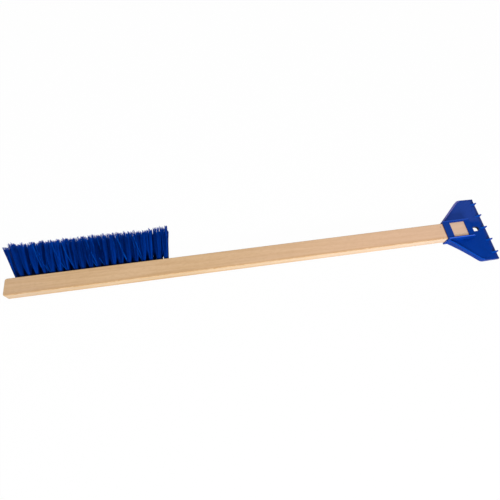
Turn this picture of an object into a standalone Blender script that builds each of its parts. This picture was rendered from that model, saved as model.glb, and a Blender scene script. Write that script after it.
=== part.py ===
"""Snow brush: a wooden lath with two rows of tufts at one end and a moulded ice scraper at the other.

X runs along the lath from the brush end to the scraper's blade, Y points the way the bristles point,
and Z is up from the middle of the lath. The origin is the centre of the lath's end face.
"""
import math
import random

import bmesh
import bpy
from mathutils import Matrix, Vector

# Lath
LATH_LENGTH = 0.682
LATH_WIDTH = 0.026
LATH_THICKNESS = 0.0135
LATH_EDGE_ROUND = 0.0009
LATH_CORNER_ROUND = 0.003

# Gap that a piece keeps to the one it touches, and how far every cutter runs past what it cuts
FIT_GAP = 0.0003
CUT_OVERRUN = 0.002

# Tufts: two rows of bored holes in one narrow face of the lath
UPPER_TUFTS = 20
LOWER_TUFTS = 21
TUFT_PITCH = 0.0106
TUFT_END_MARGIN = 0.013
TUFT_ROW_SPACING = 0.0066
TUFT_HOLE_DIAMETER = 0.005
TUFT_HOLE_DEPTH = 0.012
TUFT_HOLE_SIDES = 12
ANCHOR_WIRE_HEIGHT = 0.001

# Strands of a tuft, from the lath's face to the trimmed tips
STRANDS_ALONG = 4
STRANDS_DEEP = 3
TRIM_LENGTH = 0.0525
TRIM_UNEVENNESS = 0.0045
TIP_WIDTH = 0.0102
TIP_DEPTH = 0.0086
TIP_ROW_SPACING = 0.0100
TIP_STRAY = 0.0003
STRAND_FILL_SHARE = 0.62
STRAND_SEED = 28

# Lean of the tufts towards the brush end, most at the first ones
ROW_LEAN = 0.0125
END_LEAN = 0.0075
END_LEAN_REACH = 0.012

# Scraper: one moulding
SCRAPER_LENGTH = 0.0684
BLADE_WIDTH = 0.1042
PLATE_THICKNESS = 0.003
PLATE_DROP = 0.0014
BLADE_EDGE_THICKNESS = 0.0008
BLADE_BEVEL_LENGTH = 0.0045
SOCKET_DEPTH = 0.0388
SOCKET_WALL = 0.0016
END_WALL = 0.0032
STRAP_THICKNESS = 0.0016
STRAP_WIDTH = 0.0100
RAIL_PROUD = 0.0011
RAIL_END_SHARE = 0.5
RAIL_END_SLOPE = 0.0006
MOUTH_SLANT = 0.0009
WINDOW_LENGTH = 0.0235
WINDOW_LEDGE = 0.0013
FLANGE_RUN = 0.0412
FLANGE_STEP = 0.0008
FLANGE_WALL = 0.0026
FLANGE_LEAN = 0.0015
FLANGE_MOUTH_TOP = 0.0062
FLANGE_TOP_LIP = 0.0010
FLANGE_LOWER_DEPTH = 0.0025
FLANGE_LOWER_ARCH = 0.0015
FLANGE_END_LIP = 0.0004
FLANGE_END_DEPTH = 0.0022
FLANGE_STATIONS = 5
SHOULDER_ROUND = 0.011
SHOULDER_STATIONS = 4
HANGING_SLOT_WIDTH = 0.0077
HANGING_SLOT_LENGTH = 0.0112
HANGING_SLOT_PLACE_SHARE = 0.378
HANGING_SLOT_SIDES = 32
SLOT_BOSS_WALL = 0.0022
SLOT_BOSS_DROP = 0.0012
TOOTH_COUNT = 5
TOOTH_LENGTH = 0.0082
TOOTH_HEIGHT = 0.0062
TOOTH_BASE_WIDTH = 0.0022
TOOTH_TIP_WIDTH = 0.0017
TOOTH_SETBACK = 0.0006

# Nails that hold the scraper, driven through the strap under the lath
NAIL_COUNT = 2
NAIL_SPACING = 0.012
NAIL_DIAMETER = 0.0018
NAIL_LENGTH = 0.0105
NAIL_POINT = 0.002
NAIL_HEAD_DIAMETER = 0.005
NAIL_HEAD_THICKNESS = 0.0008
NAIL_SIDES = 12

# Places that follow from the sizes above
LATH_FACE_Y = LATH_WIDTH / 2
SOCKET_END_X = LATH_LENGTH + FIT_GAP
MOUTH_X = SOCKET_END_X - SOCKET_DEPTH
WINDOW_X = MOUTH_X + STRAP_WIDTH
BLADE_X = MOUTH_X + SCRAPER_LENGTH
POCKET_HALF_WIDTH = LATH_WIDTH / 2 + FIT_GAP
POCKET_HALF_HEIGHT = LATH_THICKNESS / 2 + FIT_GAP
SOCKET_HALF_WIDTH = POCKET_HALF_WIDTH + SOCKET_WALL
STRAP_Z = POCKET_HALF_HEIGHT + STRAP_THICKNESS
RAIL_Z = STRAP_Z + RAIL_PROUD
NAIL_X = WINDOW_X + WINDOW_LENGTH / 2


def clear_scene():
    for old in list(bpy.data.objects):
        bpy.data.objects.remove(old, do_unlink=True)


def make_material(name, colour, roughness, metallic=0.0):
    material = bpy.data.materials.new(name)
    material.use_nodes = True
    shader = material.node_tree.nodes["Principled BSDF"]
    shader.inputs["Base Color"].default_value = (*colour, 1.0)
    shader.inputs["Roughness"].default_value = roughness
    shader.inputs["Metallic"].default_value = metallic
    material.diffuse_color = (*colour, 1.0)
    return material


def finish_mesh(bm, name, material, parent, place=(0.0, 0.0, 0.0)):
    """Turns a bmesh into a named object under the brush's empty."""
    bmesh.ops.recalc_face_normals(bm, faces=bm.faces)
    mesh = bpy.data.meshes.new(name)
    bm.to_mesh(mesh)
    bm.free()
    mesh.shade_smooth()
    mesh.set_sharp_from_angle(angle=math.radians(35.0))
    mesh.materials.append(material)
    made = bpy.data.objects.new(name, mesh)
    made.location = place
    made.parent = parent
    bpy.context.collection.objects.link(made)
    return made


def add_box(bm, low, high):
    low, high = Vector(low), Vector(high)
    corners = bmesh.ops.create_cube(bm, size=1.0)["verts"]
    bmesh.ops.scale(bm, vec=high - low, verts=corners)
    bmesh.ops.translate(bm, vec=(low + high) / 2, verts=corners)


def add_cylinder(bm, radius, length, sides, start, direction):
    """A closed cylinder that starts at a point and runs along a direction."""
    direction = Vector(direction)
    ring = bmesh.ops.create_cone(
        bm, cap_ends=True, segments=sides, radius1=radius, radius2=radius, depth=length)["verts"]
    turn = Vector((0.0, 0.0, 1.0)).rotation_difference(direction).to_matrix()
    bmesh.ops.rotate(bm, cent=(0.0, 0.0, 0.0), matrix=turn, verts=ring)
    bmesh.ops.translate(bm, vec=Vector(start) + direction * length / 2, verts=ring)


def push_faces(bm, faces):
    """Extrudes faces as one region; gives the new faces and their corners, still in place."""
    edges = list(dict.fromkeys(edge for face in faces for edge in face.edges))
    made = bmesh.ops.extrude_face_region(bm, geom=[*faces, *edges])["geom"]
    new_faces = [item for item in made if isinstance(item, bmesh.types.BMFace)]
    corners = [item for item in made if isinstance(item, bmesh.types.BMVert)]
    return new_faces, corners


def add_loft(bm, sections):
    """Pushes a face through cross-sections that all have the same number of corners."""
    face = bm.faces.new([bm.verts.new(point) for point in sections[0]])
    for before, after in zip(sections, sections[1:]):
        (face,), corners = push_faces(bm, [face])
        for corner in corners:
            gaps = [(corner.co - Vector(point)).length for point in before]
            corner.co = after[gaps.index(min(gaps))]
    bmesh.ops.connect_verts_nonplanar(bm, angle_limit=math.radians(0.01), faces=bm.faces)


def join_to(target, tool, operation):
    """Adds a Boolean to the target; its tool stays as a wire guide."""
    tool.hide_render = True
    tool.display_type = "WIRE"
    modifier = target.modifiers.new(tool.name, "BOOLEAN")
    modifier.operation = operation
    modifier.solver = "EXACT"
    modifier.object = tool


def make_lath(parent, wood):
    """The planed lath, with rounded corners at the brush end and eased edges all round."""
    bm = bmesh.new()
    add_box(bm, (0.0, -LATH_FACE_Y, -LATH_THICKNESS / 2), (LATH_LENGTH, LATH_FACE_Y, LATH_THICKNESS / 2))
    end_corners = [edge for edge in bm.edges if all(v.co.x < LATH_CORNER_ROUND for v in edge.verts)
                   and abs(edge.verts[0].co.y - edge.verts[1].co.y) < LATH_CORNER_ROUND]
    bmesh.ops.bevel(bm, geom=end_corners, offset=LATH_CORNER_ROUND, offset_type="OFFSET", segments=3,
                    profile=0.5, affect="EDGES", material=-1)
    rims = [edge for edge in bm.edges
            if abs(edge.verts[0].co.z - edge.verts[1].co.z) < LATH_EDGE_ROUND]
    bmesh.ops.bevel(bm, geom=rims, offset=LATH_EDGE_ROUND, offset_type="OFFSET", segments=2,
                    profile=0.5, affect="EDGES", material=-1)
    return finish_mesh(bm, "handle", wood, parent)


def tuft_places():
    """Name, place along the lath and row side of every tuft."""
    for row, count, side in (("upper", UPPER_TUFTS, 1), ("lower", LOWER_TUFTS, -1)):
        first = LOWER_TUFTS - count
        for index in range(count):
            x = TUFT_END_MARGIN + (first + index) * TUFT_PITCH
            yield "tuft_%s_%02d" % (row, index + 1), x, side


def bore_lath(lath, parent, wood):
    """Blind holes for the tufts in the narrow face, and pilot holes for the nails from below."""
    bm = bmesh.new()
    for _, x, side in tuft_places():
        mouth = (x, LATH_FACE_Y + CUT_OVERRUN, side * TUFT_ROW_SPACING / 2)
        add_cylinder(bm, TUFT_HOLE_DIAMETER / 2, TUFT_HOLE_DEPTH + CUT_OVERRUN, TUFT_HOLE_SIDES,
                     mouth, (0.0, -1.0, 0.0))
    for x in nail_places():
        start_z = -LATH_THICKNESS / 2 - CUT_OVERRUN
        tip_z = nail_tip_z() + FIT_GAP
        add_cylinder(bm, nail_bore_radius(), tip_z - start_z, NAIL_SIDES, (x, 0.0, start_z), (0.0, 0.0, 1.0))
    join_to(lath, finish_mesh(bm, "lath_holes", wood, parent), "DIFFERENCE")


def tuft_lean(x):
    """How far a tuft's tips lie towards the brush end from its hole."""
    from_first = x - TUFT_END_MARGIN
    along_share = from_first / ((LOWER_TUFTS - 1) * TUFT_PITCH)
    return -ROW_LEAN * (1.0 - along_share ** 2) - END_LEAN * math.exp(-from_first / END_LEAN_REACH)


def make_tuft(name, x, side, parent, bristle, draw):
    """A tuft: the root folded over its wire in the hole, and the strands that fan out from it."""
    root_radius = TUFT_HOLE_DIAMETER / 2 * math.cos(math.pi / TUFT_HOLE_SIDES) - FIT_GAP
    root_depth = TUFT_HOLE_DEPTH - FIT_GAP - ANCHOR_WIRE_HEIGHT
    bm = bmesh.new()
    grid = bmesh.ops.create_grid(bm, x_segments=STRANDS_ALONG, y_segments=STRANDS_DEEP, size=1.0)["verts"]
    for corner in grid:
        u, v = corner.co.x, corner.co.y
        across = root_radius * u * math.sqrt(1.0 - v * v / 2)
        upward = root_radius * v * math.sqrt(1.0 - u * u / 2)
        corner.co = (across, -root_depth, upward)

    deep_cells = list(bm.faces)
    mouth_cells, corners = push_faces(bm, deep_cells)
    bmesh.ops.translate(bm, vec=(0.0, root_depth, 0.0), verts=corners)

    wire_cells = [face for face in deep_cells if face.is_valid
                  and abs(face.calc_center_median().z) < root_radius / STRANDS_DEEP]
    _, corners = push_faces(bm, wire_cells)
    bmesh.ops.translate(bm, vec=(0.0, -ANCHOR_WIRE_HEIGHT, 0.0), verts=corners)

    spread_along = TIP_WIDTH / (2 * root_radius)
    spread_deep = TIP_DEPTH / (2 * root_radius)
    tip_x = tuft_lean(x)
    tip_z = side * (TIP_ROW_SPACING - TUFT_ROW_SPACING) / 2
    strands = bmesh.ops.extrude_discrete_faces(bm, faces=mouth_cells)["faces"]
    for strand in strands:
        middle = strand.calc_center_median()
        length = TRIM_LENGTH - TRIM_UNEVENNESS * draw.random()
        reach_share = length / TRIM_LENGTH
        stray_x = draw.uniform(-TIP_STRAY, TIP_STRAY)
        stray_z = draw.uniform(-TIP_STRAY, TIP_STRAY)
        for corner in strand.verts:
            offset = (corner.co - middle) * STRAND_FILL_SHARE
            aim = Vector((
                tip_x + stray_x + (middle.x + offset.x) * spread_along,
                TRIM_LENGTH,
                tip_z + stray_z + (middle.z + offset.z) * spread_deep))
            corner.co = corner.co.lerp(aim, reach_share)
    return finish_mesh(bm, name, bristle, parent, (x, LATH_FACE_Y, side * TUFT_ROW_SPACING / 2))


def blade_path():
    """Outer line of the +Y flange in plan: place along X, place along Y and turn towards +Y.

    The flange runs out from the socket's wall at a slant, turns through a round shoulder and goes on
    beside the blade.
    """
    start_y = SOCKET_HALF_WIDTH + FLANGE_STEP
    side_y = BLADE_WIDTH / 2
    slant = math.atan2(side_y - start_y, FLANGE_RUN)
    corner_x = MOUTH_X + FLANGE_RUN
    tangent = SHOULDER_ROUND * math.tan(slant / 2)
    arc_start = (corner_x - tangent * math.cos(slant), side_y - tangent * math.sin(slant))
    path = []
    for step in range(FLANGE_STATIONS):
        share = step / FLANGE_STATIONS
        path.append((MOUTH_X + (arc_start[0] - MOUTH_X) * share,
                     start_y + (arc_start[1] - start_y) * share, slant))
    for step in range(SHOULDER_STATIONS + 1):
        turn = slant * (1.0 - step / SHOULDER_STATIONS)
        path.append((corner_x + tangent - SHOULDER_ROUND * math.sin(turn),
                     side_y - SHOULDER_ROUND * (1.0 - math.cos(turn)), turn))
    path.append((BLADE_X - BLADE_BEVEL_LENGTH, side_y, 0.0))
    path.append((BLADE_X, side_y, 0.0))
    return path


def blade_section(x, y, turn):
    """Cross-section of the plate and the flange on each side of it.

    The flanges are tall at the socket's mouth, where they lean towards the blade, and low at the
    shoulder. Their lower edge is a shallow arch. Both run out at the blade, where the plate thins
    to an edge.
    """
    half_plate = (BLADE_EDGE_THICKNESS if x == BLADE_X else PLATE_THICKNESS) / 2
    shoulder_top = -PLATE_DROP + PLATE_THICKNESS / 2 + FLANGE_TOP_LIP
    shoulder_bottom = -PLATE_DROP - PLATE_THICKNESS / 2 - FLANGE_LOWER_DEPTH
    end_top = -PLATE_DROP + BLADE_EDGE_THICKNESS / 2 + FLANGE_END_LIP
    end_bottom = -PLATE_DROP - BLADE_EDGE_THICKNESS / 2 - FLANGE_END_DEPTH
    left_share = max(0.0, 1.0 - (x - MOUTH_X) / FLANGE_RUN)
    out_share = max(0.0, (x - MOUTH_X - FLANGE_RUN) / (BLADE_X - MOUTH_X - FLANGE_RUN))
    arch = 4.0 * FLANGE_LOWER_ARCH * left_share * (1.0 - left_share)
    top_z = (shoulder_top + (FLANGE_MOUTH_TOP - shoulder_top) * left_share
             + (end_top - shoulder_top) * out_share)
    bottom_z = shoulder_bottom + arch + (end_bottom - shoulder_bottom) * out_share

    outer = (x, y)
    inner = (x + FLANGE_WALL * math.sin(turn), y - FLANGE_WALL * math.cos(turn))
    if x == MOUTH_X:
        inner = (x, y - FLANGE_WALL)
    half = []
    for (near_x, near_y), z in ((inner, half_plate - PLATE_DROP), (inner, top_z), (outer, top_z),
                                (outer, bottom_z), (inner, bottom_z), (inner, -half_plate - PLATE_DROP)):
        down_share = (top_z - z) / (top_z - bottom_z)
        half.append((near_x + FLANGE_LEAN * left_share * down_share, near_y, z))
    return half + [(px, -py, pz) for px, py, pz in reversed(half)]


def add_socket(bm):
    """The socket before it is hollowed: a block with a proud rail along each of its four edges.

    The mouth slants out towards its lower edge, and the rails slope down just short of the closed end.
    """
    end_x = SOCKET_END_X + END_WALL
    rail_end_x = SOCKET_END_X + END_WALL * RAIL_END_SHARE
    upper = [(-SOCKET_HALF_WIDTH, RAIL_Z), (-POCKET_HALF_WIDTH, RAIL_Z), (-POCKET_HALF_WIDTH, STRAP_Z),
             (POCKET_HALF_WIDTH, STRAP_Z), (POCKET_HALF_WIDTH, RAIL_Z), (SOCKET_HALF_WIDTH, RAIL_Z)]
    outline = upper + [(y, -z) for y, z in reversed(upper)]
    mouth = [(MOUTH_X - MOUTH_SLANT * (RAIL_Z - z) / (2 * RAIL_Z), y, z) for y, z in outline]
    add_loft(bm, [mouth] + [[(x, y, z) for y, z in outline]
                            for x in (rail_end_x, rail_end_x + RAIL_END_SLOPE, end_x)])
    for corner in bm.verts:
        if corner.co.x > rail_end_x + RAIL_END_SLOPE / 2:
            corner.co.z = math.copysign(STRAP_Z, corner.co.z)
    bmesh.ops.remove_doubles(bm, verts=bm.verts, dist=FIT_GAP / 100)
    for side in (-1, 1):
        ends = [corner for corner in bm.verts if corner.co.x > end_x - RAIL_END_SLOPE / 2
                and abs(corner.co.y - side * POCKET_HALF_WIDTH) < FIT_GAP]
        bmesh.ops.connect_verts(bm, verts=ends)


def add_tooth(bm, y):
    """A thin upright fin that rises to a point over the blade's edge."""
    front_x = BLADE_X - TOOTH_SETBACK
    rear_x = BLADE_X - TOOTH_LENGTH
    root_z = -PLATE_DROP
    surface_z = root_z + PLATE_THICKNESS / 2
    slices = []
    for side in (-1, 1):
        base_y = y + side * TOOTH_BASE_WIDTH / 2
        tip_y = y + side * TOOTH_TIP_WIDTH / 2
        slices.append([(rear_x, base_y, root_z), (front_x, base_y, root_z),
                       (front_x, tip_y, root_z + TOOTH_HEIGHT), (rear_x, base_y, surface_z)])
    add_loft(bm, slices)


def add_slot(bm, x, wall, low_z, high_z):
    """A block with straight sides and round ends, longest along X, that is a wall wider than the slot."""
    post = bmesh.ops.create_cone(
        bm, cap_ends=True, segments=HANGING_SLOT_SIDES, radius1=HANGING_SLOT_WIDTH / 2 + wall,
        radius2=HANGING_SLOT_WIDTH / 2 + wall, depth=high_z - low_z)["verts"]
    half_side = Matrix.Rotation(math.pi / HANGING_SLOT_SIDES, 3, "Z")
    bmesh.ops.rotate(bm, cent=(0.0, 0.0, 0.0), matrix=half_side, verts=post)
    for corner in post:
        corner.co.x += x + math.copysign((HANGING_SLOT_LENGTH - HANGING_SLOT_WIDTH) / 2, corner.co.x)
        corner.co.z += (low_z + high_z) / 2


def make_scraper(parent, plastic):
    """The moulding: plate, flanges and teeth joined to the socket, then hollowed for the lath."""
    bm = bmesh.new()
    add_socket(bm)
    scraper = finish_mesh(bm, "ice_scraper", plastic, parent)

    bm = bmesh.new()
    add_loft(bm, [blade_section(*station) for station in blade_path()])
    join_to(scraper, finish_mesh(bm, "scraper_blade", plastic, parent), "UNION")
    bm = bmesh.new()
    for index in range(TOOTH_COUNT):
        add_tooth(bm, BLADE_WIDTH * ((index + 0.5) / TOOTH_COUNT - 0.5))
    join_to(scraper, finish_mesh(bm, "scraper_teeth", plastic, parent), "UNION")
    wall_x = SOCKET_END_X + END_WALL
    slot_x = wall_x + (BLADE_X - wall_x) * HANGING_SLOT_PLACE_SHARE
    bm = bmesh.new()
    add_slot(bm, slot_x, SLOT_BOSS_WALL, -PLATE_DROP - PLATE_THICKNESS / 2 - SLOT_BOSS_DROP, -PLATE_DROP)
    join_to(scraper, finish_mesh(bm, "scraper_slot_boss", plastic, parent), "UNION")

    bm = bmesh.new()
    add_box(bm, (MOUTH_X - CUT_OVERRUN, -POCKET_HALF_WIDTH, -POCKET_HALF_HEIGHT),
            (SOCKET_END_X, POCKET_HALF_WIDTH, POCKET_HALF_HEIGHT))
    join_to(scraper, finish_mesh(bm, "scraper_pocket", plastic, parent), "DIFFERENCE")

    opening_y = POCKET_HALF_WIDTH - WINDOW_LEDGE
    through_z = RAIL_Z + CUT_OVERRUN
    window_end_x = WINDOW_X + WINDOW_LENGTH
    bm = bmesh.new()
    add_box(bm, (WINDOW_X, -opening_y, 0.0), (window_end_x, opening_y, through_z))
    add_box(bm, (MOUTH_X - CUT_OVERRUN, -opening_y, -through_z), (WINDOW_X, opening_y, 0.0))
    add_box(bm, (window_end_x, -opening_y, -through_z), (SOCKET_END_X, opening_y, 0.0))
    add_slot(bm, slot_x, 0.0, -through_z, through_z)
    for x in nail_places():
        add_cylinder(bm, nail_bore_radius(), through_z, NAIL_SIDES, (x, 0.0, -through_z), (0.0, 0.0, 1.0))
    join_to(scraper, finish_mesh(bm, "scraper_openings", plastic, parent), "DIFFERENCE")
    return scraper


def nail_places():
    return [NAIL_X + NAIL_SPACING * (index - (NAIL_COUNT - 1) / 2) for index in range(NAIL_COUNT)]


def nail_bore_radius():
    return (NAIL_DIAMETER / 2 + FIT_GAP) / math.cos(math.pi / NAIL_SIDES)


def nail_tip_z():
    return NAIL_LENGTH - STRAP_Z - FIT_GAP


def make_nail(name, x, parent, steel):
    """A wire nail with a flat head under the strap and its point in the lath."""
    head_z = -STRAP_Z - FIT_GAP
    levels = ((head_z - NAIL_HEAD_THICKNESS, NAIL_HEAD_DIAMETER), (head_z, NAIL_HEAD_DIAMETER),
              (head_z, NAIL_DIAMETER), (nail_tip_z() - NAIL_POINT, NAIL_DIAMETER))
    bm = bmesh.new()
    profile = [bm.verts.new((diameter / 2, 0.0, z)) for z, diameter in levels]
    ends = [bm.verts.new((0.0, 0.0, z)) for z in (levels[0][0], nail_tip_z())]
    chain = [ends[0], *profile, ends[1]]
    lines = [bm.edges.new(pair) for pair in zip(chain, chain[1:])]
    bmesh.ops.spin(bm, geom=chain + lines, cent=(0.0, 0.0, 0.0), axis=(0.0, 0.0, 1.0),
                   angle=math.tau, steps=NAIL_SIDES, use_merge=True)
    bmesh.ops.remove_doubles(bm, verts=bm.verts, dist=FIT_GAP / 100)
    return finish_mesh(bm, name, steel, parent, (x, 0.0, 0.0))


clear_scene()
brush = bpy.data.objects.new("snow_brush", None)
bpy.context.collection.objects.link(brush)
wood = make_material("planed_wood", (0.62, 0.42, 0.23), 0.6)
bristle = make_material("blue_bristle", (0.004, 0.040, 0.23), 0.45)
plastic = make_material("blue_plastic", (0.005, 0.045, 0.31), 0.35)
steel = make_material("nail_steel", (0.55, 0.56, 0.57), 0.4, 1.0)

handle = make_lath(brush, wood)
bore_lath(handle, brush, wood)
make_scraper(brush, plastic)
for number, nail_x in enumerate(nail_places(), start=1):
    make_nail("scraper_nail_%d" % number, nail_x, brush, steel)
strand_draw = random.Random(STRAND_SEED)
for tuft_name, tuft_x, tuft_side in tuft_places():
    make_tuft(tuft_name, tuft_x, tuft_side, brush, bristle, strand_draw)
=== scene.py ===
import math
import random

import bmesh
import bpy
from mathutils import Matrix, Vector


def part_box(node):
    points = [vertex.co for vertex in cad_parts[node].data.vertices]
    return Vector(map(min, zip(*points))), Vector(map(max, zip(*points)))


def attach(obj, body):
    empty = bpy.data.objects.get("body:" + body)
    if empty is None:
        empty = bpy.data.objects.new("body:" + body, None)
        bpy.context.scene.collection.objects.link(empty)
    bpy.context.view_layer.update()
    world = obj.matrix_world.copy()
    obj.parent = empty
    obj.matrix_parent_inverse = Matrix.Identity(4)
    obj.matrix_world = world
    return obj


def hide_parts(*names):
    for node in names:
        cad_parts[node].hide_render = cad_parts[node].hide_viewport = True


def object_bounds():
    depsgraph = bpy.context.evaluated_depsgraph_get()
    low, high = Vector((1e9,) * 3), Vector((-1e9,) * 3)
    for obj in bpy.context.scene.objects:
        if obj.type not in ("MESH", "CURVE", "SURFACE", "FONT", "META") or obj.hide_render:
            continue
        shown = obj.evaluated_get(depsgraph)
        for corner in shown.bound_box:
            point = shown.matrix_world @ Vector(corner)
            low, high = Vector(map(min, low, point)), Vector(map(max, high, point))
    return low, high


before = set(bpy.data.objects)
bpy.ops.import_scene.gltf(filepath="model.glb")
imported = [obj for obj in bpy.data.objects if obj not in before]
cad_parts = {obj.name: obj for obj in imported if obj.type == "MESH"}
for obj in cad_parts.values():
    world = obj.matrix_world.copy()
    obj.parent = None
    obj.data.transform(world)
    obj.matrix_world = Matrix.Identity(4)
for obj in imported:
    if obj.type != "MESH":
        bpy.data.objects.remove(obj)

cad_box = [list(corner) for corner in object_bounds()]

# Camera and table
# The brush lies flat on a white table and is photographed from above its near long side. A long soft
# lamp on that side makes the lath's narrow face its brightest, and a weaker one hangs overhead.
camera_place = (0.3051, -0.2314, 0.5152)
look_down, look_right, tilt = (math.radians(angle) for angle in (64.334, 9.852, 1.667))
brush_middle = (0.36, 0.0, 0.0)
table_half_width = 4.0
table_gap = 0.0003
white = (1.0, 1.0, 1.0, 1.0)

camera = bpy.data.objects.new("camera", bpy.data.cameras.new("camera"))
camera.data.sensor_width = 36.0
camera.data.lens = 27.75
camera.data.clip_start = 0.01
camera.matrix_world = (Matrix.Translation(camera_place)
                       @ Matrix.Rotation(-look_right, 4, "Z")
                       @ Matrix.Rotation(math.pi / 2 - look_down, 4, "X")
                       @ Matrix.Rotation(tilt, 4, "Z"))
bpy.context.scene.collection.objects.link(camera)
bpy.context.scene.camera = camera
bpy.context.scene.view_settings.view_transform = "Standard"


def add_softbox(name, place, aim, length, width, brightness):
    """A soft lamp whose long side lies along X; brightness 1 shows a facing white card as white."""
    lamp = bpy.data.lights.new(name, "AREA")
    lamp.shape = "RECTANGLE"
    lamp.size, lamp.size_y = length, width
    away = Vector(place) - Vector(aim)
    lamp.energy = brightness * math.pi ** 2 * away.length_squared
    holder = bpy.data.objects.new(name, lamp)
    holder.matrix_world = Matrix.Translation(place) @ away.to_track_quat("Z", "Y").to_matrix().to_4x4()
    bpy.context.scene.collection.objects.link(holder)


add_softbox("near_softbox", (0.45, -1.20, 0.60), brush_middle, length=0.8, width=0.4, brightness=0.94)
add_softbox("top_softbox", (0.30, 0.25, 1.40), brush_middle, length=1.0, width=1.0, brightness=0.34)


def background_share(nodes, links):
    """Light Path rays that look at the white background: those of the camera and of reflections."""
    path = nodes.new("ShaderNodeLightPath")
    total = path.outputs["Is Camera Ray"]
    for ray in ("Is Glossy Ray", "Is Transmission Ray"):
        either = nodes.new("ShaderNodeMath")
        either.operation = "MAXIMUM"
        links.new(total, either.inputs[0])
        links.new(path.outputs[ray], either.inputs[1])
        total = either.outputs[0]
    return total


room = bpy.data.worlds.new("white_room")
room.use_nodes = True
bpy.context.scene.world = room
nodes, links = room.node_tree.nodes, room.node_tree.links
nodes.clear()
soft_light = nodes.new("ShaderNodeBackground")
soft_light.inputs["Color"].default_value = white
soft_light.inputs["Strength"].default_value = 0.3
white_backdrop = nodes.new("ShaderNodeBackground")
white_backdrop.inputs["Color"].default_value = white
chosen = nodes.new("ShaderNodeMixShader")
room_output = nodes.new("ShaderNodeOutputWorld")
links.new(background_share(nodes, links), chosen.inputs["Fac"])
links.new(soft_light.outputs[0], chosen.inputs[1])
links.new(white_backdrop.outputs[0], chosen.inputs[2])
links.new(chosen.outputs[0], room_output.inputs["Surface"])

table = bpy.data.materials.new("white_table")
table.use_nodes = True
nodes, links = table.node_tree.nodes, table.node_tree.links
nodes.clear()
matte_white = nodes.new("ShaderNodeBsdfDiffuse")
matte_white.inputs["Color"].default_value = (0.90, 0.90, 0.90, 1.0)
plain_white = nodes.new("ShaderNodeEmission")
plain_white.inputs["Strength"].default_value = 1.0
mostly_plain = nodes.new("ShaderNodeMath")
mostly_plain.operation = "MULTIPLY"
mostly_plain.inputs[1].default_value = 0.98
chosen = nodes.new("ShaderNodeMixShader")
table_output = nodes.new("ShaderNodeOutputMaterial")
links.new(background_share(nodes, links), mostly_plain.inputs[0])
links.new(mostly_plain.outputs[0], chosen.inputs["Fac"])
links.new(matte_white.outputs[0], chosen.inputs[1])
links.new(plain_white.outputs[0], chosen.inputs[2])
links.new(chosen.outputs[0], table_output.inputs["Surface"])

bm = bmesh.new()
bmesh.ops.create_grid(bm, x_segments=1, y_segments=1, size=table_half_width)
bmesh.ops.translate(bm, vec=(brush_middle[0], 0.0, cad_box[0][2] - table_gap), verts=bm.verts)
table_top = bpy.data.objects.new("table_top", bpy.data.meshes.new("table_top"))
bm.to_mesh(table_top.data)
bm.free()
table_top.data.materials.append(table)
bpy.context.scene.collection.objects.link(table_top)

# Lath
# One planed strip of pale, close-grained hardwood, 682 x 26 x 13.5 mm, with its edges eased and the
# corners of the brush end rounded. The far narrow face is bored for the tufts.
tree_middle = (0.0, -0.019, 0.047)
knot_place = (0.6387, 0.0074, 0.0068)
knot_radius, knot_core = 0.0016, 0.0005
pale, tan, cream = (0.700, 0.480, 0.262), (0.560, 0.352, 0.165), (0.740, 0.530, 0.330)
ring_tan, fibre_brown = (0.630, 0.412, 0.206), (0.500, 0.305, 0.140)
mottle_brown, fleck_brown = (0.470, 0.280, 0.130), (0.360, 0.200, 0.090)
fresh_cream, knot_brown, socket_mouth_shadow = (0.745, 0.535, 0.350), (0.260, 0.200, 0.150), (0.200, 0.070, 0.035)
edge_tan, end_grain_brown, rubbed_pale = (0.560, 0.330, 0.130), (0.420, 0.255, 0.125), (0.800, 0.620, 0.400)


def start_material(name):
    """A new material with its node tree and its shader."""
    material = bpy.data.materials.new(name)
    material.use_nodes = True
    tree = material.node_tree
    return material, tree, tree.nodes["Principled BSDF"]


def add_node(tree, kind, values=(), **settings):
    """A node with its settings, and values for its inputs by name or number."""
    node = tree.nodes.new("ShaderNode" + kind)
    for key, value in settings.items():
        setattr(node, key, value)
    for key, value in dict(values).items():
        if isinstance(value, bpy.types.NodeSocket):
            tree.links.new(value, node.inputs[key])
        else:
            node.inputs[key].default_value = value
    return node


def reckon(tree, operation, *values, clamp=False):
    """The output of a Math node on sockets or plain numbers."""
    return add_node(tree, "Math", dict(enumerate(values)), operation=operation, use_clamp=clamp).outputs[0]


def times(tree, first, *others):
    """The product of sockets and plain numbers."""
    for other in others:
        first = reckon(tree, "MULTIPLY", first, other)
    return first


def ramp_between(tree, value, low, high):
    """0 where the value is at or under low, 1 where it is at or over high, smooth between."""
    node = add_node(tree, "MapRange", {"Value": value, "From Min": low, "From Max": high},
                    interpolation_type="SMOOTHSTEP")
    return node.outputs["Result"]


def blend_colours(tree, share, first, second, blend="MIX"):
    """The output of a colour Mix node; the colours are sockets or linear RGB triples."""
    node = add_node(tree, "Mix", {0: share}, data_type="RGBA", blend_type=blend)
    for number, colour in ((6, first), (7, second)):
        if isinstance(colour, bpy.types.NodeSocket):
            tree.links.new(colour, node.inputs[number])
        else:
            node.inputs[number].default_value = (*colour, 1.0)
    return node.outputs[2]


def tinge(tree, colour, tone, *shares):
    """The colour with a share of another tone in it; the shares given are multiplied."""
    return blend_colours(tree, times(tree, *shares), colour, tone)


def lighten(tree, colour, factors, *shares):
    """The colour times three factors, under 1 to darken, where the product of the shares is 1."""
    return blend_colours(tree, times(tree, *shares), colour, factors, "MULTIPLY")


def object_place(tree):
    """Each point's place in metres, in the brush's own frame."""
    return add_node(tree, "TexCoord").outputs["Object"]


def split(tree, vector):
    """The X, Y and Z of a vector, by name."""
    return add_node(tree, "SeparateXYZ", {"Vector": vector}).outputs


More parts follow.
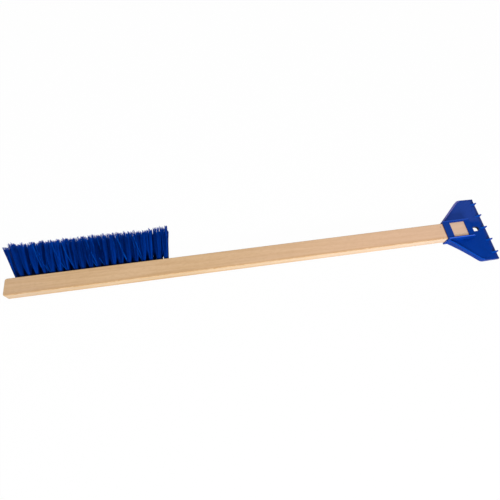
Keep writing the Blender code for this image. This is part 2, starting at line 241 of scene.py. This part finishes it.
def stretched_noise(tree, place, scale, detail=4.0, roughness=0.55, distortion=0.0):
    """Noise whose grain has its own size in each direction; scale is per metre."""
    mapped = add_node(tree, "Mapping", {"Vector": place, "Scale": scale})
    noise = add_node(tree, "TexNoise", {"Vector": mapped.outputs[0], "Scale": 1.0, "Detail": detail,
                                        "Roughness": roughness, "Distortion": distortion})
    return noise.outputs["Fac"]


def emboss(tree, shader, height, strength, distance):
    """Relief on the surface; distance is its full height in metres."""
    bump = add_node(tree, "Bump", {"Height": height, "Strength": strength, "Distance": distance})
    tree.links.new(bump.outputs[0], shader.inputs["Normal"])


def rubbed_edges_group():
    """Rubbed patches along edges: edge wear on the wood, and on the plastic partly wear, partly a painted
    highlight on the rims.
    """
    group = bpy.data.node_groups.new("rubbed_and_highlit_edges", "ShaderNodeTree")
    for name, value in (("Edge", 0.0), ("Patches Per Metre", 300.0), ("Amount", 0.5)):
        socket = group.interface.new_socket(name=name, in_out="INPUT", socket_type="NodeSocketFloat")
        socket.default_value = value
    group.interface.new_socket(name="Rubbed", in_out="OUTPUT", socket_type="NodeSocketFloat")
    entry = group.nodes.new("NodeGroupInput")
    leave = group.nodes.new("NodeGroupOutput")
    noise = add_node(group, "TexNoise", {"Vector": object_place(group), "Detail": 3.0, "Roughness": 0.6,
                                         "Scale": entry.outputs["Patches Per Metre"]})
    patches = ramp_between(group, noise.outputs["Fac"], 0.35, 0.65)
    rubbed = times(group, entry.outputs["Edge"], patches, entry.outputs["Amount"])
    group.links.new(rubbed, leave.inputs["Rubbed"])
    return group


rubbed_and_highlit_edges = rubbed_edges_group()


def rub(tree, edge, patches, amount):
    """The rubbed share of a material's edges; on the plastic it also carries a painted highlight."""
    node = add_node(tree, "Group", {"Edge": edge, "Patches Per Metre": patches, "Amount": amount},
                    node_tree=rubbed_and_highlit_edges)
    return node.outputs["Rubbed"]


wood, tree, shader = start_material("planed_lath")
place = object_place(tree)
axes = split(tree, place)
rings = add_node(tree, "Mapping", {"Vector": place, "Location": tree_middle,
                                   "Rotation": (0.0, 0.012, 0.006)})
growth = add_node(tree, "TexWave", {"Vector": rings.outputs[0], "Scale": 118.0, "Distortion": 1.6,
                                    "Detail": 2.0, "Detail Scale": 0.35, "Detail Roughness": 0.6},
                  wave_type="RINGS", rings_direction="X", wave_profile="SAW").outputs["Fac"]
fibres = stretched_noise(tree, place, (14.0, 1500.0, 1500.0), detail=5.0, roughness=0.65)
mottle = stretched_noise(tree, place, (160.0, 520.0, 520.0), detail=3.0, roughness=0.6)
streaks = stretched_noise(tree, place, (5.0, 260.0, 260.0), detail=3.0)
clouds = stretched_noise(tree, place, (9.0, 40.0, 40.0), detail=2.0)
flecks = ramp_between(tree, stretched_noise(tree, place, (420.0, 2600.0, 2600.0), detail=1.0), 0.66, 0.76)

colour = tinge(tree, pale, ring_tan, ramp_between(tree, growth, 0.15, 1.0), 0.7)
colour = tinge(tree, colour, tan, ramp_between(tree, streaks, 0.42, 0.72), 0.6)
colour = tinge(tree, colour, fibre_brown, ramp_between(tree, fibres, 0.35, 0.75), 0.35)
colour = tinge(tree, colour, cream, ramp_between(tree, clouds, 0.40, 0.75), 0.35)
colour = tinge(tree, colour, mottle_brown, ramp_between(tree, mottle, 0.42, 0.68), 0.22)
colour = tinge(tree, colour, fleck_brown, flecks, 0.30)

# The wood is fresher towards the scraper, and cooler and paler inside the socket
towards_scraper = ramp_between(tree, axes["X"], 0.20, 0.64)
colour = tinge(tree, colour, fresh_cream, towards_scraper, 0.45)
colour = lighten(tree, colour, (1.10, 1.06, 1.14), towards_scraper)
colour = lighten(tree, colour, (0.985, 0.955, 0.965), 1.0)
towards_brush_end = ramp_between(tree, axes["X"], 0.110, 0.030)
colour = lighten(tree, colour, (1.015, 1.035, 1.12), towards_brush_end)
from_knot = add_node(tree, "VectorMath", {0: place, 1: knot_place}, operation="DISTANCE").outputs["Value"]
colour = tinge(tree, colour, knot_brown, ramp_between(tree, from_knot, knot_radius, knot_core), 0.45)
in_socket = ramp_between(tree, axes["X"], 0.636, 0.650)
colour = lighten(tree, colour, (0.99, 1.04, 1.15), in_socket)
# Painted light: the wood in the window beside the near rail is painted lighter where the rail shades it
painted_light_by_near_rail = ramp_between(tree, axes["Y"], -0.0030, -0.0110)
colour = lighten(tree, colour, (1.20, 1.24, 1.28), in_socket, painted_light_by_near_rail)
by_near_edge = ramp_between(tree, axes["Y"], -0.0085, -0.0110)
upper_part = ramp_between(tree, axes["Z"], 0.0050, 0.0064)
colour = lighten(tree, colour, (0.94, 0.88, 0.79), by_near_edge, upper_part)
# Painted shadow: a dark reddish line where the lath goes into the socket's mouth, on every face but the
# underside
past_mouth = ramp_between(tree, axes["X"], 0.6420, 0.6434)
off_underside = ramp_between(tree, axes["Z"], -0.0066, -0.0058)
before_window = ramp_between(tree, axes["X"], 0.648, 0.646)
colour = tinge(tree, colour, socket_mouth_shadow, past_mouth, off_underside, before_window)

# Edges, narrow faces and the sawn end
off_middle_y = reckon(tree, "ABSOLUTE", axes["Y"])
off_middle_z = reckon(tree, "ABSOLUTE", axes["Z"])
edges = times(tree, ramp_between(tree, off_middle_y, 0.0100, 0.0128),
              ramp_between(tree, off_middle_z, 0.0052, 0.0067))
colour = tinge(tree, colour, edge_tan, edges, 0.30)
narrow_faces = ramp_between(tree, off_middle_y, 0.01285, 0.01298)
colour = lighten(tree, colour, (0.96, 1.055, 1.16), narrow_faces)
colour = lighten(tree, colour, (1.00, 1.07, 1.10), narrow_faces, towards_scraper)
lower_part = ramp_between(tree, axes["Z"], 0.0010, -0.0040)
colour = lighten(tree, colour, (0.95, 0.86, 0.76), narrow_faces, lower_part)
end_grain = ramp_between(tree, axes["X"], 0.0009, 0.0)
colour = tinge(tree, colour, end_grain_brown, end_grain, 0.55)
colour = tinge(tree, colour, rubbed_pale, rub(tree, edges, 220.0, 0.35))
tree.links.new(colour, shader.inputs["Base Color"])
rough = reckon(tree, "MULTIPLY_ADD", fibres, 0.22, 0.46)
tree.links.new(reckon(tree, "ADD", rough, times(tree, end_grain, 0.15)), shader.inputs["Roughness"])
shader.inputs["Specular IOR Level"].default_value = 0.35
emboss(tree, shader, reckon(tree, "ADD", times(tree, fibres, 0.7), times(tree, flecks, -0.5)), 0.35, 0.00012)
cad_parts["handle"].data.materials.clear()
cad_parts["handle"].data.materials.append(wood)

# Tufts
# Forty-one tufts of blue plastic strands. Each is a bundle folded in half over a short wire and
# driven into its hole, where it is packed tight; outside it fans out to ragged trimmed tips.
upper_tufts, lower_tufts = 20, 21
tuft_pitch = 0.0106
first_tuft_x = 0.013
row_length = (lower_tufts - 1) * tuft_pitch
bored_face_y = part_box("handle")[1].y
row_z = 0.0033
hole_depth = 0.0107
root_radius = 0.00211
trim_length = 0.0525
tip_row_z = 0.0050
tip_half_width = 0.0064
tip_half_depth = 0.0046
row_lean, end_lean, end_lean_reach = 0.0125, 0.0075, 0.028
strand_steps, step_growth = 8, 1.35
strands_wide, strands_high, row_stagger = 11, 10, 0.309
strand_half_width = 0.0002
upper_girth, lower_girth, tip_girth, stray_girth = 1.0, 1.45, 0.88, 1.7
locks_in_tuft = 9
upper_pull, lower_pull = 0.25, 0.08
neck_share, neck_power = 0.34, 0.42
crimp = 0.00022
ragged = 0.045
bent_below, crossing_below = 0.045, 0.052
depth_limit = cad_box[1][2] + 0.0001
longest_strand = cad_box[1][1] + 0.0032 - bored_face_y
deep_blue, bright_blue, stray_blue = (0.0001, 0.0095, 0.098), (0.0003, 0.0615, 0.488), (0.001, 0.115, 0.720)
blotch_blue, root_shadow, frayed_blue = (0.0003, 0.018, 0.180), (0.0001, 0.0015, 0.012), (0.001, 0.112, 0.80)


def lean_of_tuft(x):
    """How far the tips of the tuft lie towards the brush end from its hole."""
    from_first = x - first_tuft_x
    return (-row_lean * (1.0 - (from_first / row_length) ** 2)
            - end_lean * math.exp(-(from_first / end_lean_reach) ** 2))


def push_together(bm, faces):
    """Extrudes faces as one block; gives the new faces and their corners, still in place."""
    edges = list(dict.fromkeys(edge for face in faces for edge in face.edges))
    made = bmesh.ops.extrude_face_region(bm, geom=[*faces, *edges])["geom"]
    return ([item for item in made if isinstance(item, bmesh.types.BMFace)],
            [item for item in made if isinstance(item, bmesh.types.BMVert)])


def plan_locks(draw):
    """The locks that the strands of one tuft cling together in, each with its own place and set."""
    levels = draw.sample(range(locks_in_tuft), locks_in_tuft)
    tints = draw.sample(range(locks_in_tuft), locks_in_tuft)
    return [{"u": -0.9 + 1.8 * (index + draw.random()) / locks_in_tuft,
             "v": -0.8 + 1.6 * (levels[index] + draw.random()) / locks_in_tuft,
             "swing": draw.gauss(0.0, 0.0004),
             "bow": draw.gauss(0.0, 0.0005),
             "lift": draw.gauss(0.0, 0.0005),
             "short": 0.080 * draw.random() ** 1.3,
             "tint": (tints[index] + draw.random()) / locks_in_tuft}
            for index in range(locks_in_tuft)]


def plan_strand(draw, locks, u, v, lean, side, width, end_side):
    """Where one strand goes: its tip, and the bow and crimp that it has on the way."""
    lock = min(locks, key=lambda lock: (lock["u"] - u) ** 2 + (lock["v"] - v) ** 2 / 4)
    girth, pull = (upper_girth, upper_pull) if side > 0 else (lower_girth, lower_pull)
    length = trim_length * (1.0 - lock["short"] - ragged * draw.random() ** 2) + 0.0012
    if not end_side:
        length -= 0.05 * trim_length * min(1.0, abs(lock["u"] - u) * locks_in_tuft / 3) ** 2
    length += 0.0030 * min(1.0, abs(lean) / 0.019) ** 3
    swing = lock["swing"] + draw.gauss(0.0, 0.0005)
    tint = 0.68 * lock["tint"] + 0.29 * draw.random()
    girth *= draw.uniform(0.90, 1.0)
    stray = draw.random()
    if stray < bent_below:
        swing += (-end_side or draw.choice((-1.0, -1.0, 1.0))) * draw.uniform(0.003, 0.008)
    elif stray < crossing_below and lean > -0.0135:
        swing -= draw.uniform(0.010, 0.019)
        length *= 0.96
        v, tint, girth = side, 1.0, stray_girth
    if end_side > 0:
        u, swing = u * (0.60 if u > 0.0 else 1.0) - 0.10, min(swing, 0.0004)
    return {
        "length": min(length, longest_strand),
        "across": u * tip_half_width * width,
        "swing": swing + (lock["u"] - u) * pull * tip_half_width * width,
        "tip_z": side * (tip_row_z - row_z) + (v + (lock["v"] - v) * 0.15) * tip_half_depth + lock["lift"],
        "bow": lock["bow"] + draw.gauss(0.0, 0.0004),
        "bow_z": draw.gauss(0.0, 0.0004),
        "phase": draw.uniform(0.0, math.tau),
        "waves": draw.uniform(1.2, 2.0),
        "girth": girth,
        "tint": tint,
    }


def tuft_mesh(name, x, side, lean_power, fan_power, width, end_side, draw):
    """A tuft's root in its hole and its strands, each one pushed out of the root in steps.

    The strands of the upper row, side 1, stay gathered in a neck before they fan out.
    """
    bm = bmesh.new()
    tint = bm.faces.layers.float.new("tint")
    number = bm.faces.layers.int.new("number")
    along = bm.verts.layers.float.new("along")
    grid = bmesh.ops.create_grid(bm, x_segments=strands_wide, y_segments=strands_high, size=1.0)["verts"]
    aims = []
    for cell in bm.faces:
        middle = cell.calc_center_median()
        cell[number] = len(aims)
        row_shift = (middle.y * strands_high * row_stagger) % 1.0 - 0.5
        aims.append((middle.x + 2.0 * row_shift / strands_wide, middle.y))
    for corner in grid:
        u, v = corner.co.x, corner.co.y
        corner.co = (root_radius * u * math.sqrt(1.0 - v * v / 2), -hole_depth,
                     root_radius * v * math.sqrt(1.0 - u * u / 2))
    cells, corners = push_together(bm, list(bm.faces))
    bmesh.ops.translate(bm, vec=(0.0, hole_depth, 0.0), verts=corners)
    lean, locks = lean_of_tuft(x), plan_locks(draw)
    plans = [plan_strand(draw, locks, u, v, lean, side, width, end_side) for u, v in aims]
    for cell in cells:
        cell[tint] = plans[cell[number]]["tint"]
    starts = {cell[number]: cell.calc_center_median() for cell in cells}
    highest = depth_limit - side * row_z - strand_half_width
    lowest = -depth_limit - side * row_z + strand_half_width
    for step in range(1, strand_steps + 1):
        cells = bmesh.ops.extrude_discrete_faces(bm, faces=cells)["faces"]
        for cell in cells:
            plan, start = plans[cell[number]], starts[cell[number]]
            out = (step / strand_steps) ** step_growth
            share = plan["length"] / trim_length * out
            outer = end_side > 0 and plan["across"] > 0.0
            fan = share ** (0.9 if outer else fan_power)
            if side > 0:
                fan *= min(1.0, share / neck_share) ** neck_power
            wave = crimp * share * math.sin(plan["phase"] + math.tau * plan["waves"] * share)
            bow = math.sin(math.pi * share)
            spread = (plan["across"] - start.x) * fan + plan["swing"] * share ** 0.7
            rise = (plan["tip_z"] - start.z) * share ** 0.5
            goal = Vector((start.x + spread + lean * share ** lean_power + plan["bow"] * bow + wave,
                           trim_length * share,
                           start.z + rise + plan["bow_z"] * bow - wave))
            goal.z = max(lowest, min(highest, goal.z))
            middle = cell.calc_center_median()
            move = goal - middle
            girth = plan["girth"] if step == 1 else (tip_girth if step == strand_steps else 1.0)
            for corner in cell.verts:
                corner.co = middle + (corner.co - middle) * girth + move
                corner[along] = out
    bmesh.ops.translate(bm, vec=(x, bored_face_y, side * row_z), verts=bm.verts)
    bmesh.ops.recalc_face_normals(bm, faces=bm.faces)
    mesh = bpy.data.meshes.new(name)
    bm.to_mesh(mesh)
    bm.free()
    mesh.shade_smooth()
    return mesh


def mesh_value(tree, name):
    """The value that the mesh carries under this name."""
    return add_node(tree, "Attribute", attribute_name=name).outputs["Fac"]


def faces_up(tree):
    """1 where a face looks up or sideways, 0 where it looks down."""
    return ramp_between(tree, split(tree, add_node(tree, "NewGeometry").outputs["Normal"])["Z"], -0.5, 0.1)


bristle, tree, shader = start_material("blue_strands")
tint, along = mesh_value(tree, "tint"), mesh_value(tree, "along")
place = object_place(tree)
axes = split(tree, place)
colour = tinge(tree, deep_blue, bright_blue, ramp_between(tree, tint, 0.12, 0.84))
colour = tinge(tree, colour, stray_blue, ramp_between(tree, tint, 0.97, 0.99))
blotches = stretched_noise(tree, place, (60.0, 60.0, 60.0), detail=2.0)
colour = tinge(tree, colour, blotch_blue, blotches, 0.35)
in_lower_row = ramp_between(tree, axes["Z"], 0.0012, -0.0006)
off_brush_end = ramp_between(tree, axes["X"], 0.004, 0.018)
under_row = times(tree, in_lower_row, off_brush_end, faces_up(tree), ramp_between(tree, along, 0.42, 0.22))
in_shadow = reckon(tree, "MAXIMUM", under_row, ramp_between(tree, along, 0.075, 0.015))
colour = tinge(tree, colour, root_shadow, in_shadow, 0.92)
colour = tinge(tree, colour, frayed_blue, ramp_between(tree, along, 0.80, 1.0), 0.55)
tree.links.new(colour, shader.inputs["Base Color"])
scuffs = stretched_noise(tree, place, (1200.0, 300.0, 1200.0), detail=2.0)
tree.links.new(reckon(tree, "MULTIPLY_ADD", scuffs, 0.25, 0.42), shader.inputs["Roughness"])
shader.inputs["Specular IOR Level"].default_value = 0.08
shader.inputs["Specular Tint"].default_value = (0.0, 0.25, 1.0, 1.0)
emboss(tree, shader, scuffs, 0.25, 0.00005)

# How early a tuft's strands spread, and how wide: the lower row's last tufts each in their own way
upper_fan, lower_fan = (0.45, 1.0), (0.10, 1.50)
last_lower_fans = {18: (0.10, 1.80), 19: (0.30, 1.05), 20: (0.30, 1.05)}
strand_draw = random.Random(41)
for row, count, side in (("upper", upper_tufts, 1), ("lower", lower_tufts, -1)):
    for index in range(count):
        name = "tuft_%s_%02d" % (row, index + 1)
        tuft_x = first_tuft_x + (lower_tufts - count + index) * tuft_pitch
        lean_power, end_side = 0.84, 0
        fan_power, width = upper_fan if side > 0 else last_lower_fans.get(index, lower_fan)
        if tuft_x < first_tuft_x + tuft_pitch / 2:
            lean_power, fan_power, width, end_side = 1.0, 1.0, 1.1, -1
        elif index == count - 1:
            end_side = 1
        mesh = tuft_mesh("strands_" + name, tuft_x, side, lean_power, fan_power, width, end_side, strand_draw)
        mesh.materials.append(bristle)
        strands = bpy.data.objects.new("strands_" + name, mesh)
        bpy.context.scene.collection.objects.link(strands)
        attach(strands, "root")
        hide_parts(name)

# Ice scraper
# One moulding in blue plastic: a socket round the lath's end, a plate between two tall flanges, and
# a thin blade with five upright teeth. Every edge has the small round that a mould gives it.
mould_round = 0.00035
flat_within, sharp_from, smooth_within = math.radians(0.6), math.radians(32), math.radians(40.0)
shortest_sharp = 0.0007
plate_top_z = 0.0001
strap_top_z = 0.0087
teeth_start_x, teeth_half_span, teeth_apart = 0.7031, 0.048, 0.02084
slot_x, slot_reach = 0.6955, 0.0058
rail_side_y, past_rail_y = 0.0149, 0.0153
plate_blue, flow_blue = (0.0002, 0.031, 0.255), (0.0006, 0.035, 0.285)
far_sheen_blue, blade_blue, tooth_shadow_blue = (0.0145, 0.049, 0.290), (0.011, 0.028, 0.165), (0.012, 0.016, 0.080)
strap_blue, lit_blue, slot_dark = (0.006, 0.040, 0.265), (0.0004, 0.080, 0.600), (0.0005, 0.002, 0.012)
tooth_blue, tooth_tip_blue = (0.0005, 0.066, 0.430), (0.008, 0.048, 0.360)
near_rail_highlight, far_rail_highlight = (0.055, 0.165, 0.820), (0.022, 0.075, 0.430)
near_flange_highlight, far_flange_highlight = (0.0045, 0.076, 0.500), (0.160, 0.155, 0.430)
rubbed_and_highlit_blue = (0.050, 0.130, 0.600)

bm = bmesh.new()
bm.from_mesh(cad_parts["ice_scraper"].data)
bmesh.ops.remove_doubles(bm, verts=bm.verts, dist=1e-6)
bmesh.ops.dissolve_limit(bm, angle_limit=flat_within, verts=bm.verts, edges=bm.edges)
sharp = [edge for edge in bm.edges if edge.is_manifold and edge.calc_face_angle() > sharp_from
         and edge.calc_length() > shortest_sharp]
rim = bm.verts.layers.float.new("rim")
rounded = bmesh.ops.bevel(bm, geom=sharp, offset=mould_round, offset_type="OFFSET", segments=2, profile=0.5,
                          affect="EDGES", clamp_overlap=True, material=-1)
strips = set(rounded["faces"])
for corner in rounded["verts"]:
    if corner.is_valid and all(face in strips for face in corner.link_faces):
        corner[rim] = 1.0
highlit_top = bm.faces.layers.float.new("highlit_top")
tooth = bm.faces.layers.float.new("tooth")
slot_wall = bm.faces.layers.float.new("slot_wall")
lit_wall = bm.faces.layers.float.new("lit_wall")
# Faces are marked for the painted highlights on the tops of rails and flanges, for the teeth, for the painted
# shade in the hanging slot and for the painted light on the near rail's outer wall
for face in bm.faces:
    middle, up = face.calc_center_median(), face.normal.z
    off_middle = abs(middle.y)
    beside_rails = off_middle > past_rail_y and middle.z > plate_top_z + 0.0002
    if middle.x > teeth_start_x and off_middle < teeth_half_span and middle.z > plate_top_z + 0.0003:
        face[tooth] = 1.0
    elif up > 0.85 and (beside_rails or middle.z > strap_top_z + 0.0006):
        face[highlit_top] = 1.0
    # Painted shade: the wall of the hanging slot is marked to be painted near black
    if abs(up) < 0.5 and math.hypot(middle.x - slot_x, middle.y) < slot_reach and middle.z < plate_top_z:
        face[slot_wall] = 1.0
    if face.normal.y < -0.7 and abs(off_middle - rail_side_y) < 0.0003 and middle.z > plate_top_z:
        face[lit_wall] = 1.0
mesh = bpy.data.meshes.new("moulded_scraper")
bm.to_mesh(mesh)
bm.free()
mesh.shade_smooth()
mesh.set_sharp_from_angle(angle=smooth_within)
scraper = bpy.data.objects.new("moulded_scraper", mesh)
bpy.context.scene.collection.objects.link(scraper)
weighting = scraper.modifiers.new("flat_faces_stay_flat", "WEIGHTED_NORMAL")
weighting.keep_sharp = True

plastic, tree, shader = start_material("moulded_blue")
place = object_place(tree)
axes = split(tree, place)
flow = stretched_noise(tree, place, (35.0, 70.0, 70.0), detail=3.0, distortion=0.6)
skin = stretched_noise(tree, place, (2400.0, 2400.0, 2400.0), detail=2.0)
scratches = ramp_between(tree, stretched_noise(tree, place, (60.0, 4200.0, 4200.0), detail=2.0), 0.62, 0.78)

# The plate's far half carries a painted sheen, and the thin blade beyond it is darker, with a painted shadow
# beside each tooth
colour = tinge(tree, plate_blue, flow_blue, ramp_between(tree, flow, 0.3, 0.7))
far_half = ramp_between(tree, axes["Y"], 0.0095, 0.0170)
colour = tinge(tree, colour, far_sheen_blue, far_half)
# Painted light brightens the far half beside the socket, short of the blade
beside_rail = ramp_between(tree, axes["Y"], 0.042, 0.022)
off_blade = ramp_between(tree, axes["X"], 0.700, 0.672)
colour = lighten(tree, colour, (1.25, 1.28, 1.28), beside_rail, off_blade, far_half)
on_blade = times(tree, ramp_between(tree, axes["X"], 0.7064, 0.7082),
                 reckon(tree, "MULTIPLY_ADD", flow, 0.9, 0.15))
colour = tinge(tree, colour, blade_blue, on_blade)
# Painted shadow: a dark patch on the plate just past the far side of each tooth, and a little darkening over
# the blade
across_teeth = reckon(tree, "ADD", axes["Y"], 10 * teeth_apart - 0.0030)
from_patch = reckon(tree, "PINGPONG", across_teeth, teeth_apart / 2)
patch = times(tree, ramp_between(tree, from_patch, 0.0030, 0.0010),
              ramp_between(tree, axes["X"], 0.7045, 0.7068),
              ramp_between(tree, axes["Y"], 0.045, -0.045), faces_up(tree))
tooth_shadow_share = reckon(tree, "MULTIPLY_ADD", patch, 0.55, times(tree, on_blade, 0.1))
colour = tinge(tree, colour, tooth_shadow_blue, tooth_shadow_share)

# Painted light: the near rail's outer side and the walls that face the lamp are painted lighter; the strap is
# duller
# Painted light lifts the plate in the corner beside the near rail, where the rail and flange shade it
corner_y = ramp_between(tree, axes["Y"], -0.0200, -0.0160)
corner_x = ramp_between(tree, axes["X"], 0.676, 0.660)
past_rail = ramp_between(tree, axes["Y"], -0.0140, -0.0146)
colour = lighten(tree, colour, (1.40, 1.40, 1.40), corner_y, corner_x, past_rail)
on_strap = ramp_between(tree, axes["X"], 0.6560, 0.6550)
colour = tinge(tree, colour, strap_blue, on_strap, ramp_between(tree, axes["Z"], plate_top_z, strap_top_z))
# Painted highlight: the teeth are painted lighter than the plate, as their lit sides, with the upper front of
# each in a second tone
tooth_top = ramp_between(tree, axes["Z"], 0.0012, 0.0030)
tooth_front = ramp_between(tree, axes["X"], 0.7085, 0.7105)
tooth_colour = tinge(tree, tooth_blue, tooth_tip_blue, tooth_top, tooth_front)
colour = tinge(tree, colour, tooth_colour, mesh_value(tree, "tooth"), 0.80)
colour = tinge(tree, colour, lit_blue, mesh_value(tree, "lit_wall"))

# Painted highlights on the tops of the rails and flanges, rubbed edges that are partly a painted highlight,
# and painted shade in the hanging slot
highlit_share = reckon(tree, "MULTIPLY", mesh_value(tree, "highlit_top"),
                 reckon(tree, "MULTIPLY_ADD", flow, 0.5, 0.6), clamp=True)
highlight_colour = tinge(tree, near_rail_highlight, far_rail_highlight, ramp_between(tree, axes["Y"], -0.0100, 0.0100))
highlight_colour = tinge(tree, highlight_colour, far_flange_highlight, ramp_between(tree, axes["Y"], 0.0150, 0.0165))
highlight_colour = tinge(tree, highlight_colour, near_flange_highlight, ramp_between(tree, axes["Y"], -0.0150, -0.0165))
colour = tinge(tree, colour, highlight_colour, highlit_share)
# Painted highlight along the moulded rims, broken into patches like rubbed wear
colour = tinge(tree, colour, rubbed_and_highlit_blue, rub(tree, mesh_value(tree, "rim"), 260.0, 0.70))
# Painted shade darkens the slot's wall to near black
colour = tinge(tree, colour, slot_dark, mesh_value(tree, "slot_wall"))
tree.links.new(colour, shader.inputs["Base Color"])
rough = reckon(tree, "MULTIPLY_ADD", skin, 0.10, 0.36)
tree.links.new(reckon(tree, "ADD", rough, times(tree, scratches, 0.12)), shader.inputs["Roughness"])
shader.inputs["Specular IOR Level"].default_value = 0.18
shader.inputs["Specular Tint"].default_value = (0.0, 0.25, 1.0, 1.0)
emboss(tree, shader, reckon(tree, "SUBTRACT", skin, times(tree, scratches, 0.6)), 0.20, 0.00004)
mesh.materials.append(plastic)
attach(scraper, "root")
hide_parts("ice_scraper")

# Nails
# Two short steel wire nails with flat heads, driven up through the strap under the lath. Only the
# heads show, seen from below.
bright_steel, grimy_steel = (0.560, 0.565, 0.570), (0.300, 0.285, 0.265)
steel, tree, shader = start_material("bright_wire_steel")
place = object_place(tree)
grime = stretched_noise(tree, place, (700.0, 700.0, 700.0), detail=4.0)
hammered = add_node(tree, "TexVoronoi", {"Vector": place, "Scale": 900.0}, feature="SMOOTH_F1")
colour = tinge(tree, bright_steel, grimy_steel, ramp_between(tree, grime, 0.45, 0.75))
tree.links.new(colour, shader.inputs["Base Color"])
shader.inputs["Metallic"].default_value = 1.0
tree.links.new(reckon(tree, "MULTIPLY_ADD", grime, 0.30, 0.22), shader.inputs["Roughness"])
emboss(tree, shader, hammered.outputs["Distance"], 0.3, 0.0001)
for number in (1, 2):
    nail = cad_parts["scraper_nail_%d" % number]
    nail.data.materials.clear()
    nail.data.materials.append(steel)
